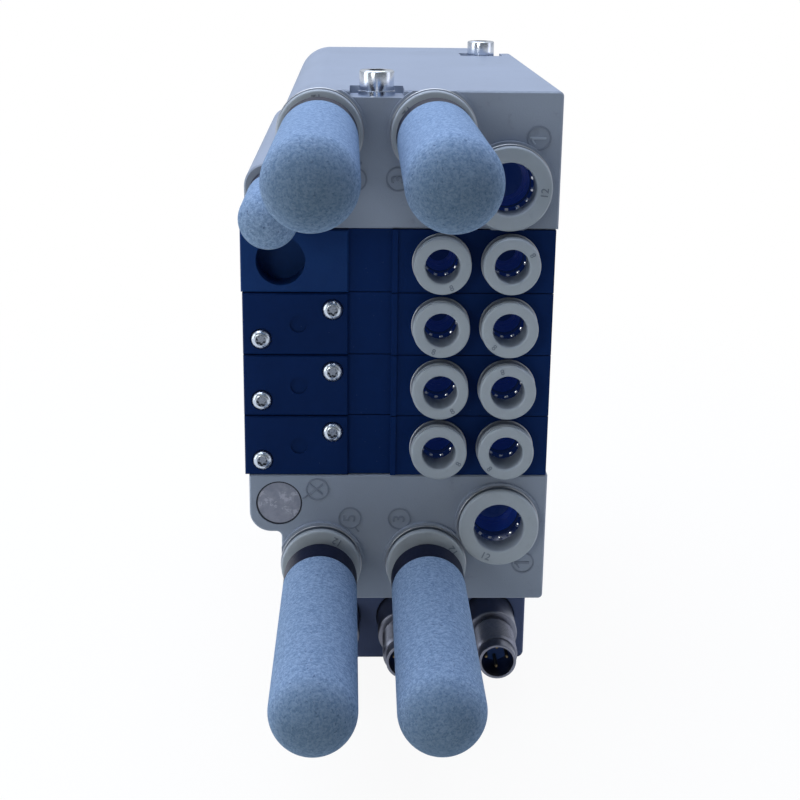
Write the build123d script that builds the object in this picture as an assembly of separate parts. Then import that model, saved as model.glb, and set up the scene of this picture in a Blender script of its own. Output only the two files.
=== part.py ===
from build123d import *
import math
import os

# Valve island: four valve stations between two end plates, with a bus module underneath.
# Millimetres. The origin is the middle of the bus module's underside. +X points to the
# mounting side, +Y to the back and +Z up through the stack.

# ------------------------------------------------------------------ driving sizes: stack
station_count = 4
station_pitch = 16.2
seal_thickness = 0.25
seal_inset = 1.4

# Footprint of the end plates
plate_width = 69.5
plate_depth = 153.0
mount_depth = 128.0
mount_step_width = 11.5
upper_plate_height = 33.75
lower_plate_height = 35.0
plate_edge = 0.4
plate_corner_radius = 10.5
plate_mount_radius = 1.2
ear_width = 8.3
ear_height = 15.8
ear_radius = 5.5
ear_root_radius = 1.5

# Bus module
module_height = 36.0
module_depth = 92.0
module_setback = 36.0
module_wall = 2.5
module_front_wall = 4.0
module_corner_radius = 2.0
module_cover_clearance = 0.15

# Base plates and valves
base_width = 51.6
base_side_inset = 0.5
strip_width = 10.9
strip_recess = 1.0
ridge_width = 1.4
ridge_height = 0.5
valve_width = 26.7
valve_gap = 0.3
valve_edge = 0.35
cover_depth = 12.0
pilot_depth = 40.0
pilot_edge = 1.0
pilot_screw_sink = 2.5
blank_extra_width = 0.3
blank_recess_radius = 6.2
blank_recess_depth = 8.0
blank_recess_from_base = 17.0
dimple_radius = 2.2
dimple_depth = 0.4
dimple_from_base = 12.6

# Push-in fittings: distances from the mounting side, tube sizes and their working parts
work_port_from_side = (28.9, 11.75)
supply_port_from_side = 12.75
exhaust_ports_from_side = (31.5, 59.1)
pilot_port_from_side = 70.1
small_tube = 8.0
small_ring_diameter = 14.3
small_ring_head = 3.1
small_ring_gap = 1.7
small_rim = 1.2
large_tube = 12.0
large_ring_diameter = 20.8
large_ring_head = 1.7
large_ring_gap = 1.1
large_rim = 0.5
small_ring_ease = 0.3
large_ring_ease = 0.5
ring_stop_gap = 0.3
ring_edge = 0.35
ring_lead_in = 0.45
neck_wall = 1.0
sleeve_wall = 1.0
rim_overhang = 0.15
running_clearance = 0.05
tube_clearance = 0.1
neck_depth = 3.0
collet_length = 2.2
collet_wedge = 0.6
collet_edge = 0.4
collet_lip = 0.5
collet_slits = 6
collet_slit_width = 0.5
collet_slit_length = 1.7
tube_seal_length = 2.4
tube_seal_edge = 0.3
tube_grip = 0.05
tube_socket_length = 6.0
tube_stop = 1.0
bore_relief = 4.0
boss_overhang = 0.9
boss_height = 1.3

# Heights of the end plates' ports above or below the stack
upper_supply_rise = 10.6
lower_supply_rise = 13.0
upper_exhaust_rise = 23.7
lower_exhaust_rise = 24.1
pilot_rise = 7.8

# Air galleries, in the order 5, 4, 1, 2, 3 from the front
gallery_first_setback = 41.0
gallery_pitch = 12.0
gallery_count = 5
gallery_radius = 2.6
channel_radius = 4.0
exhaust_channel_from_side = 43.5
centre_channel_from_side = 20.5

# Spools
spool_radius = 4.2
spool_waist_radius = 2.6
spool_travel = 3.0
spool_bore_setback = 27.0
land_length = 5.0
piston_length = 4.0
spool_end_gap = 0.6

# Screws
tie_radius = 2.5
tie_clearance = 0.25
tie_head_radius = 4.25
tie_head_height = 5.0
tie_head_edge = 0.5
tie_tip_gap = 1.0
tie_socket_flats = 4.0
tie_socket_depth = 2.6
washer_radius = 4.6
washer_thickness = 1.1
front_tie_from_side = 45.35
front_tie_setback = 6.0
rear_tie_from_side = 10.5
rear_tie_from_mount_back = 6.0
pocket_width = 13.2
pocket_depth = 1.8
front_pocket_length = 11.5
rear_pocket_length = 11.0
insert_radius = 4.0
insert_length = 12.0
insert_chamfer = 0.5
small_screw_radius = 1.4
small_screw_clearance = 0.2
small_screw_bite = 6.0
thread_clearance = 0.02
pan_head_radius = 2.55
pan_head_height = 1.9
pan_head_rim = 0.95
pan_head_crown_radius = 1.6
pan_head_sink = 0.5
cover_screw_high = (4.0, 3.8)
cover_screw_low = (22.1, -3.9)
valve_screw_setback = 22.5
valve_screw_in_pilot = 8.0
module_screw_inset_x = 6.0
module_screw_setback = 18.0
module_screw_seat = 2.5
module_post_radius = 3.6
panel_hole_radius = 2.1
panel_hole_depth = 10.0
panel_hole_rise = 25.0
panel_hole_inset = 26.0

# Silencers
silencer_collar_radius = 9.4
silencer_collar_start = 10.5
silencer_collar_length = 8.0
silencer_reach = 89.2
silencer_root_radius = 9.4
silencer_tip_radius = 9.75
silencer_wall = 3.0
silencer_stub_length = 6.0
spigot_wall = 1.5
collar_edge = 0.4
pilot_silencer_radius = 6.85
pilot_silencer_reach = 38.0
pilot_silencer_wall = 2.0
pilot_collar_length = 7.0
pilot_spigot_radius = 4.8
pilot_bore_depth = 10.0
pilot_tip_gap = 1.0
pilot_stub_length = 4.0
plug_radius = 6.0
plug_length = 9.0
plug_sink = 0.3
plug_clearance = 0.05

# Round connectors on the bus module
connector_from_side = (10.6, 36.3, 56.0)
connector_height = 13.5
connector_collar_radius = 7.2
connector_recess_radius = 7.65
connector_recess_depth = 2.0
connector_collar_reach = 12.0
connector_relief_radius = 5.4
connector_relief_length = 1.6
connector_thread_radius = 6.0
connector_thread_length = 11.4
connector_tip_radius = 5.2
connector_tip_length = 4.0
connector_edge = 0.55
connector_bore_radius = 4.4
connector_tail_length = 5.0
connector_tail_radius = 5.6
socket_depth = 10.0
pin_radius = 0.5
pin_ring_radius = 2.9
pin_length = 7.0
pin_root = 4.0
insert_fit = 0.03
board_thickness = 1.6
board_clearance = 0.5

# ------------------------------------------------------------------ places worked out
side_x = plate_width / 2
front_y = -(module_setback + module_depth / 2)
stack_bottom = module_height + lower_plate_height
stack_top = stack_bottom + station_count * station_pitch
upper_plate_bottom = stack_top + seal_thickness
upper_plate_top = upper_plate_bottom + upper_plate_height
mount_back = front_y + mount_depth
plate_back = front_y + plate_depth
plate_left = -plate_width / 2
step_x = side_x - mount_step_width
base_right = side_x - base_side_inset
base_left = base_right - base_width
valve_left = base_left - valve_width
base_thickness = station_pitch - seal_thickness
valve_thickness = station_pitch - valve_gap
station_middles = [stack_top - (i + 0.5) * station_pitch for i in range(station_count)]
valve_stations = range(2, station_count + 1)
front_tie = (side_x - front_tie_from_side, front_y + front_tie_setback)
rear_tie = (side_x - rear_tie_from_side, mount_back - rear_tie_from_mount_back)
ties = (front_tie, rear_tie)
pocket_floor = upper_plate_top - pocket_depth
work_ports = [side_x - d for d in work_port_from_side]
supply_x = side_x - supply_port_from_side
exhaust_xs = [side_x - d for d in exhaust_ports_from_side]
pilot_x = side_x - pilot_port_from_side
galleries = [front_y + gallery_first_setback + i * gallery_pitch for i in range(gallery_count)]
gallery_5, gallery_4, gallery_1, gallery_2, gallery_3 = galleries
exhaust_channel_x = side_x - exhaust_channel_from_side
centre_channel_x = side_x - centre_channel_from_side
channels = (
    (centre_channel_x, gallery_1),
    (centre_channel_x, gallery_3),
    (exhaust_channel_x, gallery_5),
)
spool_x = base_left - valve_width / 2
spool_bore_radius = spool_radius + running_clearance
spool_bore_front = front_y + spool_bore_setback
pilot_front = plate_back - pilot_depth
valve_screw_ys = (front_y + valve_screw_setback, pilot_front + valve_screw_in_pilot)
panel_hole_ys = (front_y + panel_hole_inset, mount_back - panel_hole_inset)
module_left = plate_left
module_front = front_y + module_setback
module_back = module_front + module_depth


# ------------------------------------------------------------------ helpers
def block(x0, x1, y0, y1, z0, z1):
    """Block between two opposite corners."""
    middle = Pos((x0 + x1) / 2, (y0 + y1) / 2, (z0 + z1) / 2)
    return middle * Box(x1 - x0, y1 - y0, z1 - z0)


def rod_x(y, z, radius, x0, x1):
    """Round bar along X."""
    return Pos((x0 + x1) / 2, y, z) * Rot(0, 90, 0) * Cylinder(radius, x1 - x0)


def rod_y(x, z, radius, y0, y1):
    """Round bar along Y."""
    return Pos(x, (y0 + y1) / 2, z) * Rot(90, 0, 0) * Cylinder(radius, y1 - y0)


def rod_z(x, y, radius, z0, z1):
    """Round bar along Z."""
    return Pos(x, y, (z0 + z1) / 2) * Cylinder(radius, z1 - z0)


def turned(*outline):
    """Solid of revolution about Z from (radius, height) corners."""
    wire = Polyline(*[(r, 0, h) for r, h in outline], close=True)
    return revolve(make_face(wire), Axis.Z)


def facing_front(solid, x, z, y=front_y):
    """Turn a solid's +Z to the front and set its foot on the front face."""
    return Pos(x, y, z) * Rot(90, 0, 0) * solid


def along_y(face, y0, y1):
    """Carry a face drawn as (x, z) from y0 back to y1."""
    return Pos(0, y1, 0) * Rot(90, 0, 0) * extrude(face, amount=y1 - y0)


def corner_at(corners, x, y):
    """The corner of a sketch that lies nearest to a point."""
    return corners.sort_by_distance((x, y, 0))[0]


def with_front_edge(solid, size):
    """Break the edges round the face that looks to the front."""
    front = solid.faces().sort_by(Axis.Y)[0]
    return chamfer(front.edges(), size)


def write(node, *solids):
    """Write one node's solids to its own file."""
    shape = solids[0] if len(solids) == 1 else Compound(children=list(solids))
    export_step(shape, os.path.join("parts", node + ".step"))


# ------------------------------------------------------------------ push-in fittings
class Fitting:
    """Working parts of one size of push-in fitting, along +Z out of the port's face."""

    def __init__(self, tube, ring_diameter, head, gap, rim, ease, seat):
        self.tube = tube / 2
        self.ring = ring_diameter / 2
        self.seat = seat
        self.rim_top = seat + rim
        self.head_foot = self.rim_top + gap
        self.head_top = self.head_foot + head
        self.travel = gap - ring_stop_gap
        self.bore = self.tube + ease
        self.neck = self.bore + neck_wall
        self.chamber = self.neck + running_clearance
        self.barrel = self.chamber + sleeve_wall
        self.neck_foot = -neck_depth
        self.collet_top = self.neck_foot - gap
        self.collet_foot = self.collet_top - collet_length
        self.seal_foot = self.collet_foot - tube_seal_length
        self.socket_foot = self.seal_foot - tube_socket_length
        self.sleeve_foot = self.socket_foot - tube_stop
        self.inner = self.tube + tube_clearance
        self.passage = self.tube - tube_stop

    def release_ring(self):
        """Flanged thimble that is pushed in to free the tube."""
        return turned(
            (self.bore, self.neck_foot),
            (self.neck, self.neck_foot),
            (self.neck, self.head_foot),
            (self.ring - ring_edge / 2, self.head_foot),
            (self.ring, self.head_foot + ring_edge / 2),
            (self.ring, self.head_top - ring_edge),
            (self.ring - ring_edge, self.head_top),
            (self.bore + ring_lead_in, self.head_top),
            (self.bore, self.head_top - ring_lead_in),
        )

    def sleeve(self):
        """Metal liner: a rim on the port's face, a chamber, a socket and a stop for the tube."""
        rim = self.ring + rim_overhang
        return turned(
            (self.barrel, self.sleeve_foot),
            (self.barrel, self.seat),
            (rim, self.seat),
            (rim, self.rim_top),
            (self.chamber, self.rim_top),
            (self.chamber, self.seal_foot),
            (self.inner, self.seal_foot),
            (self.inner, self.socket_foot),
            (self.passage, self.socket_foot),
            (self.passage, self.sleeve_foot),
        )

    def collet(self):
        """Slit spring-steel cone that bites the tube."""
        outer = self.chamber - thread_clearance
        cone = turned(
            (outer - collet_edge, self.collet_top),
            (outer, self.collet_top),
            (outer, self.collet_foot),
            (self.inner + collet_lip, self.collet_foot),
            (self.inner + tube_grip, self.collet_foot + collet_wedge),
        )
        depth = 2 * (outer - self.inner - collet_lip)
        slit = Box(depth, collet_slit_width, 2 * collet_slit_length)
        slit = Pos(self.chamber, 0, self.collet_foot) * slit
        for turn in range(collet_slits):
            cone -= Rot(0, 0, 360 / collet_slits * turn) * slit
        return cone

    def seal(self):
        """Rubber ring between collet and socket."""
        outer = self.chamber - thread_clearance
        inner = self.inner + tube_grip
        top = self.collet_foot - thread_clearance
        return turned(
            (inner, self.seal_foot + tube_seal_edge),
            (inner + tube_seal_edge, self.seal_foot),
            (outer, self.seal_foot),
            (outer, top),
            (inner + tube_seal_edge, top),
            (inner, top - tube_seal_edge),
        )

    def port_bore(self, depth):
        """Hole that takes the sleeve, with a passage behind it to the given depth."""
        barrel = self.barrel + thread_clearance
        length = bore_relief - self.sleeve_foot
        pocket = Pos(0, 0, bore_relief - length / 2) * Cylinder(barrel, length)
        return pocket + Pos(0, 0, -depth / 2) * Cylinder(self.passage, depth)


small = Fitting(
    small_tube, small_ring_diameter, small_ring_head, small_ring_gap,
    small_rim, small_ring_ease, seat=0.0
)
large = Fitting(
    large_tube, large_ring_diameter, large_ring_head, large_ring_gap,
    large_rim, large_ring_ease, seat=boss_height
)


# ------------------------------------------------------------------ end plates
def plate_outline(height):
    """Front view of an end plate: the stack at y = 0, an ear beside it and a round far corner."""
    ear_left = plate_left - ear_width
    outline = Polyline(
        (ear_left, 0),
        (side_x, 0),
        (side_x, height),
        (plate_left, height),
        (plate_left, ear_height),
        (ear_left, ear_height),
        close=True,
    )
    face = make_face(outline)
    face = fillet(corner_at(face.vertices(), plate_left, height), plate_corner_radius)
    face = fillet(corner_at(face.vertices(), ear_left, ear_height), ear_radius)
    face = fillet(corner_at(face.vertices(), plate_left, ear_height), ear_root_radius)
    return fillet(corner_at(face.vertices(), side_x, height), plate_mount_radius)


def end_plate(height, supply_rise, exhaust_rise):
    """End plate without its screw holes, standing on the stack's face at z = 0."""
    face = plate_outline(height)
    plate = with_front_edge(along_y(face, front_y, plate_back), plate_edge)
    plate -= block(step_x, side_x + 1, mount_back, plate_back + 1, -1, height + 1)
    plate -= block(plate_left - ear_width - 1, plate_left, mount_back, plate_back + 1, -1, height + 1)

    # A low boss round each tube port, trimmed where it would pass the plate's outline
    ports = [(supply_x, supply_rise)] + [(x, exhaust_rise) for x in exhaust_xs]
    skin = along_y(face, front_y - boss_height, front_y + 1)
    for x, rise in ports:
        boss = rod_y(x, rise, large.ring + boss_overhang, front_y - boss_height, front_y + 1)
        plate += boss & skin

    # Ports run back to their gallery, across to the stack's channel and into the stack
    for (x, rise), (channel_x, gallery) in zip(ports, channels):
        plate -= facing_front(large.port_bore(gallery - front_y), x, rise)
        low, high = sorted((x, channel_x))
        plate -= rod_x(gallery, rise, channel_radius, low, high)
        plate -= rod_z(channel_x, gallery, channel_radius, -1, rise)

    for y in panel_hole_ys:
        hole_left = side_x - panel_hole_depth
        plate -= rod_x(y, panel_hole_rise, panel_hole_radius, hole_left, side_x + 1)
    return plate


def upper_end_plate():
    """Upper end plate with pockets for the tie screws' heads and a pilot silencer's hole."""
    plate = end_plate(upper_plate_height, upper_supply_rise, upper_exhaust_rise)
    bore = Cylinder(pilot_spigot_radius + thread_clearance, pilot_bore_depth)
    plate -= facing_front(Pos(0, 0, -pilot_bore_depth / 2) * bore, pilot_x, pilot_rise)
    floor = upper_plate_height - pocket_depth
    top = upper_plate_height + 1
    half = pocket_width / 2
    front_x, rear_x = front_tie[0], rear_tie[0]
    for x, y0, y1 in (
        (front_x, front_y - 1, front_y + front_pocket_length),
        (rear_x, mount_back - rear_pocket_length, mount_back),
    ):
        plate -= block(x - half, x + half, y0, y1, floor, top)
    for x, y in ties:
        plate -= rod_z(x, y, tie_radius + tie_clearance, -1, top)
    return Pos(0, 0, upper_plate_bottom) * plate


def lower_end_plate():
    """Lower end plate: the upper one's mirror image, with inserts and holes for the module."""
    plate = end_plate(lower_plate_height, lower_supply_rise, lower_exhaust_rise)
    seat = Cylinder(plug_radius + plug_clearance, plug_length + 2 * plug_sink)
    plate -= facing_front(Pos(0, 0, -plug_length / 2) * seat, pilot_x, pilot_rise)
    for x, y in ties:
        plate -= rod_z(x, y, tie_radius + tie_clearance, -1, lower_plate_height)
        insert_start = lower_plate_height - insert_length
        plate -= rod_z(x, y, insert_radius + thread_clearance, insert_start, lower_plate_height + 1)
    for x, y in module_screw_places():
        bite = small_screw_radius + thread_clearance
        plate -= rod_z(x, y, bite, lower_plate_height - small_screw_bite - 1, lower_plate_height + 1)
    return Pos(0, 0, stack_bottom) * mirror(plate, about=Plane.XY)


# ------------------------------------------------------------------ base plates
def base_plate(middle):
    """Moulded plate of one station: ports at the front, channels through, valve at its left."""
    bottom = middle - station_pitch / 2 + seal_thickness
    top = bottom + base_thickness
    strip_right = base_left + strip_width
    ridge_right = strip_right + ridge_width
    outline = Polyline(
        (base_left, front_y + strip_recess),
        (strip_right, front_y + strip_recess),
        (strip_right, front_y - ridge_height),
        (ridge_right, front_y - ridge_height),
        (ridge_right, front_y),
        (base_right, front_y),
        (base_right, mount_back),
        (step_x, mount_back),
        (step_x, plate_back),
        (base_left, plate_back),
        close=True,
    )
    plate = Pos(0, 0, bottom) * extrude(make_face(outline), amount=base_thickness)
    for x, gallery in zip(work_ports, (gallery_4, gallery_2)):
        plate -= facing_front(small.port_bore(gallery - front_y), x, middle)
        plate -= rod_x(gallery, middle, gallery_radius, base_left - 1, x)
    for x, gallery in channels:
        plate -= rod_z(x, gallery, channel_radius, bottom - 1, top + 1)
        plate -= rod_x(gallery, middle, gallery_radius, base_left - 1, x)
    for x, y in ties:
        plate -= rod_z(x, y, tie_radius + tie_clearance, bottom - 1, top + 1)
    for y in valve_screw_ys:
        bite = small_screw_radius + thread_clearance
        plate -= rod_x(y, middle, bite, base_left - 1, base_left + small_screw_bite + 1)
    return plate


def station_seal(bottom):
    """Flat gasket between two plates of the stack, cut out round the channels and ties."""
    gasket = block(
        base_left + seal_inset, base_right - seal_inset,
        front_y + strip_recess + seal_inset, mount_back - seal_inset,
        bottom, bottom + seal_thickness,
    )
    for x, y in channels:
        gasket -= rod_z(x, y, channel_radius, bottom - 1, bottom + 1)
    for x, y in ties:
        gasket -= rod_z(x, y, tie_radius + tie_clearance, bottom - 1, bottom + 1)
    return gasket


# ------------------------------------------------------------------ valves
def valve_block(left, y0, y1, middle):
    """Plain block of a valve's section between two depths."""
    half = valve_thickness / 2
    return block(left, base_left, y0, y1, middle - half, middle + half)


def cover_screw_places(middle):
    """Where a valve's two front screws sit, as (x, z)."""
    return [(base_left - d, middle + rise) for d, rise in (cover_screw_high, cover_screw_low)]


def valve_body(middle):
    """Valve body with its spool bore, galleries to the base plate and screw holes."""
    body = valve_block(valve_left, front_y + cover_depth, pilot_front, middle)
    body -= rod_y(spool_x, middle, spool_bore_radius, spool_bore_front, pilot_front + 1)
    for gallery in galleries:
        body -= rod_x(gallery, middle, gallery_radius, spool_x, base_left + 1)
    bite = small_screw_radius + thread_clearance
    for x, z in cover_screw_places(middle):
        body -= rod_y(x, z, bite, front_y, front_y + cover_depth + small_screw_bite + 1)
        body -= rod_y(x, z, bite, pilot_front - small_screw_bite - 1, pilot_front + 1)
    return body - valve_screw_hole(middle, valve_left, valve_screw_ys[0])


def valve_cover(middle):
    """Front cover with sunk seats for two pan-head screws and a shallow moulded dimple."""
    cover = valve_block(valve_left, front_y, front_y + cover_depth, middle)
    cover = with_front_edge(cover, valve_edge)
    for x, z in cover_screw_places(middle):
        hole = small_screw_radius + small_screw_clearance
        seat = pan_head_radius + small_screw_clearance
        cover -= rod_y(x, z, hole, front_y - 1, front_y + cover_depth + 1)
        cover -= rod_y(x, z, seat, front_y - 1, front_y + pan_head_sink)
    cover -= rod_y(base_left - dimple_from_base, middle, dimple_radius, front_y - 1, front_y + dimple_depth)
    return cover


def pilot_head(middle):
    """Solenoid pilot on the valve's back end."""
    head = valve_block(valve_left, pilot_front, plate_back, middle)
    head = chamfer(head.faces().sort_by(Axis.Y)[-1].edges(), pilot_edge)
    for x, z in cover_screw_places(middle):
        hole = small_screw_radius + small_screw_clearance
        seat = pan_head_radius + small_screw_clearance
        head -= rod_y(x, z, hole, pilot_front - 1, plate_back + 1)
        head -= rod_y(x, z, seat, plate_back - pilot_screw_sink, plate_back + 1)
    return head - valve_screw_hole(middle, valve_left, valve_screw_ys[1])


def valve_screw_hole(middle, left, y):
    """Clearance hole through a valve, with a counterbore for the screw's head."""
    hole = rod_x(y, middle, small_screw_radius + small_screw_clearance, left - 1, base_left + 1)
    head_seat = left + 2 * pan_head_height
    return hole + rod_x(y, middle, pan_head_radius + small_screw_clearance, left - 1, head_seat)


def blanking_block(middle):
    """Closed block in place of a valve, with a round pocket in its front."""
    left = valve_left - blank_extra_width
    body = valve_block(left, front_y, plate_back, middle)
    body = with_front_edge(body, valve_edge)
    x = base_left - blank_recess_from_base
    body -= rod_y(x, middle, blank_recess_radius, front_y - 1, front_y + blank_recess_depth)
    for y in valve_screw_ys:
        body -= valve_screw_hole(middle, left, y)
    return body


def spool(middle):
    """Turned spool: a land each side of every gallery and a piston at its back end."""
    back = pilot_front - spool_end_gap
    outline = [(0, 0), (spool_radius, 0), (spool_radius, piston_length)]
    for land in reversed(range(gallery_count + 1)):
        middle_y = galleries[0] + (land - 0.5) * gallery_pitch
        foot = back - middle_y - land_length / 2
        outline.append((spool_waist_radius, outline[-1][1]))
        outline.append((spool_waist_radius, foot))
        outline += [(spool_radius, foot), (spool_radius, foot + land_length)]
    outline.append((0, outline[-1][1]))
    return facing_front(turned(*outline), spool_x, middle, back)


# ------------------------------------------------------------------ screws
def pan_screw(length):
    """Pan-head screw: head on z = 0 and up, shank down."""
    return turned(
        (0, -length),
        (small_screw_radius, -length),
        (small_screw_radius, 0),
        (pan_head_radius, 0),
        (pan_head_radius, pan_head_rim),
        (pan_head_crown_radius, pan_head_height),
        (0, pan_head_height),
    )


def tie_screw(x, y):
    """Socket-head screw from the upper plate down into the lower plate's insert."""
    seat = pocket_floor + washer_thickness
    top = seat + tie_head_height
    screw = rod_z(x, y, tie_radius, module_height + tie_tip_gap, seat)
    screw += rod_z(x, y, tie_head_radius, seat, top)
    screw = chamfer(screw.faces().sort_by(Axis.Z)[-1].edges(), tie_head_edge)
    hexagon = RegularPolygon(tie_socket_flats / 2, 6, major_radius=False)
    return screw - Pos(x, y, top - tie_socket_depth) * extrude(hexagon, amount=tie_socket_depth + 1)


def tie_washer(x, y):
    """Plain washer under a tie screw's head."""
    bore = tie_radius + tie_clearance
    ring = rod_z(x, y, washer_radius, pocket_floor, pocket_floor + washer_thickness)
    return ring - rod_z(x, y, bore, pocket_floor - 1, pocket_floor + washer_thickness + 1)


def tie_insert(x, y):
    """Brass bush let into the lower plate from below."""
    bore = tie_radius + thread_clearance
    bush = turned(
        (bore, 0),
        (insert_radius, 0),
        (insert_radius, insert_length - insert_chamfer),
        (insert_radius - insert_chamfer, insert_length),
        (bore, insert_length),
    )
    return Pos(x, y, module_height) * bush


def module_screw_places():
    """Where the bus module's four screws stand, as (x, y)."""
    xs = (module_left + module_screw_inset_x, side_x - module_screw_inset_x)
    ys = (module_front + module_screw_setback, module_back - module_screw_setback)
    return [(x, y) for x in xs for y in ys]


# ------------------------------------------------------------------ silencers
def silencer_holder():
    """Black plastic holder: a spigot for the port, a collar and a stub for the porous cup."""
    collar_top = silencer_collar_start + silencer_collar_length
    stub = silencer_root_radius - silencer_wall - running_clearance
    spigot = large_tube / 2
    bore = spigot - spigot_wall
    return turned(
        (bore, large.socket_foot),
        (spigot, large.socket_foot),
        (spigot, silencer_collar_start),
        (silencer_collar_radius - collar_edge, silencer_collar_start),
        (silencer_collar_radius, silencer_collar_start + collar_edge),
        (silencer_collar_radius, collar_top),
        (stub, collar_top),
        (stub, collar_top + silencer_stub_length),
        (bore, collar_top + silencer_stub_length),
    )


def porous_cup(foot, reach, root_radius, tip_radius, wall):
    """Sintered cup, open at its foot, a little wider at its tip and closed by a dome."""
    centre = reach - tip_radius
    dome = ThreePointArc(
        (tip_radius, 0, centre),
        (tip_radius * math.sin(math.pi / 4), 0, centre + tip_radius * math.cos(math.pi / 4)),
        (0, 0, reach),
    )
    inner = root_radius - wall
    walls = Polyline(
        (0, 0, reach), (0, 0, centre), (inner, 0, centre), (inner, 0, foot),
        (root_radius, 0, foot), (tip_radius, 0, centre)
    )
    return revolve(make_face(dome + walls), Axis.Z)


def pilot_holder():
    """Small holder screwed into the upper ear."""
    stub = pilot_silencer_radius - pilot_silencer_wall - running_clearance
    foot = pilot_tip_gap - pilot_bore_depth
    top = pilot_collar_length + pilot_stub_length
    return turned(
        (0, foot),
        (pilot_spigot_radius, foot),
        (pilot_spigot_radius, 0),
        (pilot_silencer_radius, 0),
        (pilot_silencer_radius, pilot_collar_length),
        (stub, pilot_collar_length),
        (stub, top),
        (0, top),
    )


# ------------------------------------------------------------------ bus module
def module_housing():
    """Moulded case, open at the back, with sunk connector seats and four screw posts."""
    outline = Polyline(
        (module_left, 0),
        (side_x, 0),
        (side_x, module_height),
        (module_left, module_height),
        close=True,
    )
    face = make_face(outline)
    face = fillet(corner_at(face.vertices(), side_x, 0), module_corner_radius)
    face = fillet(corner_at(face.vertices(), module_left, 0), module_corner_radius)
    case = with_front_edge(along_y(face, module_front, module_back), plate_edge)
    wall = module_wall
    case -= block(
        module_left + wall, side_x - wall, module_front + module_front_wall, module_back + 1,
        wall, module_height - wall
    )
    for x, y in module_screw_places():
        case += rod_z(x, y, module_post_radius, wall / 2, module_height - wall / 2)
        case -= rod_z(x, y, small_screw_radius + small_screw_clearance, -1, module_height + 1)
        case -= rod_z(x, y, pan_head_radius + small_screw_clearance, -1, module_screw_seat)
    for distance in connector_from_side:
        x = side_x - distance
        seat = module_front + connector_recess_depth
        case -= rod_y(x, connector_height, connector_recess_radius, module_front - 1, seat)
        hole = connector_tail_radius + running_clearance
        case -= rod_y(x, connector_height, hole, seat - 1, module_front + module_front_wall + 1)
    return case


def module_cover():
    """Plate that closes the case's open back."""
    inset = module_wall + module_cover_clearance
    return block(
        module_left + inset, side_x - inset, module_back - module_wall, module_back,
        inset, module_height - inset
    )


def module_board():
    """Circuit board slid in under the connectors, cut out round the screw posts."""
    top = connector_height - connector_tail_radius - board_clearance
    front = module_front + module_front_wall + board_clearance
    edge = module_wall + module_cover_clearance
    board = block(
        module_left + edge, side_x - edge, front, module_back - module_wall - board_clearance,
        top - board_thickness, top
    )
    for x, y in module_screw_places():
        board -= rod_z(x, y, module_post_radius + board_clearance, 0, module_height)
    return board


def connector_shell():
    """Threaded metal shell of a round connector, seated on the case's recess."""
    thread_foot = connector_collar_reach + connector_relief_length
    thread_top = thread_foot + connector_thread_length
    tip = thread_top + connector_tip_length
    edge = connector_edge
    return turned(
        (connector_bore_radius, -connector_recess_depth - connector_tail_length),
        (connector_tail_radius, -connector_recess_depth - connector_tail_length),
        (connector_tail_radius, -connector_recess_depth),
        (connector_collar_radius, -connector_recess_depth),
        (connector_collar_radius, connector_collar_reach - edge),
        (connector_collar_radius - edge, connector_collar_reach),
        (connector_relief_radius, connector_collar_reach),
        (connector_relief_radius, thread_foot),
        (connector_thread_radius - edge, thread_foot),
        (connector_thread_radius, thread_foot + edge),
        (connector_thread_radius, thread_top - edge),
        (connector_thread_radius - edge, thread_top),
        (connector_tip_radius, thread_top),
        (connector_tip_radius, tip - edge / 2),
        (connector_tip_radius - edge / 2, tip),
        (connector_bore_radius + edge / 2, tip),
        (connector_bore_radius, tip - edge / 2),
    )


connector_tip = (
    connector_collar_reach + connector_relief_length + connector_thread_length + connector_tip_length
)
socket_floor = connector_tip - socket_depth


def pin_places():
    """Centres of a connector's four pins."""
    quarter_turns = [math.pi / 2 * i for i in range(4)]
    return [(pin_ring_radius * math.cos(a), pin_ring_radius * math.sin(a)) for a in quarter_turns]


def connector_insert():
    """Moulded insert that fills the shell behind the socket and holds the pins."""
    foot = -connector_recess_depth - connector_tail_length
    body = Pos(0, 0, (foot + socket_floor) / 2) * Cylinder(
        connector_bore_radius - insert_fit, socket_floor - foot
    )
    for x, y in pin_places():
        body -= Pos(x, y, socket_floor - pin_root / 2) * Cylinder(pin_radius + thread_clearance, pin_root)
    return body


def connector_pin():
    """Round contact pin with a blunt point."""
    return turned(
        (0, -pin_root),
        (pin_radius, -pin_root),
        (pin_radius, pin_length - pin_radius / 2),
        (pin_radius / 2, pin_length),
        (0, pin_length),
    )


# ------------------------------------------------------------------ the assembly
os.makedirs("parts", exist_ok=True)

write("upper_end_plate", upper_end_plate())
write("lower_end_plate", lower_end_plate())

# Base plates, seals and what stands in each station's left half
seal_feet = [stack_top] + [z - station_pitch / 2 for z in station_middles]
write("station_seals", *[station_seal(z) for z in seal_feet])
for number, z in enumerate(station_middles, start=1):
    write(f"base_plate_{number}", base_plate(z))
write("blanking_block", blanking_block(station_middles[0]))
cover_screws = []
pilot_screws = []
for number in valve_stations:
    z = station_middles[number - 1]
    write(f"valve_body_{number}", valve_body(z))
    write(f"valve_cover_{number}", valve_cover(z))
    write(f"pilot_head_{number}", pilot_head(z))
    write(f"spool_{number}", spool(z))
    for x, rise in cover_screw_places(z):
        seat = front_y + pan_head_sink
        cover_screws.append(
            facing_front(pan_screw(cover_depth - pan_head_sink + small_screw_bite), x, rise, seat)
        )
        back_seat = plate_back - pilot_screw_sink
        screw = pan_screw(pilot_depth - pilot_screw_sink + small_screw_bite)
        pilot_screws.append(Pos(x, back_seat, rise) * Rot(-90, 0, 0) * screw)
write("cover_screws", *cover_screws)
write("pilot_screws", *pilot_screws)

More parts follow.
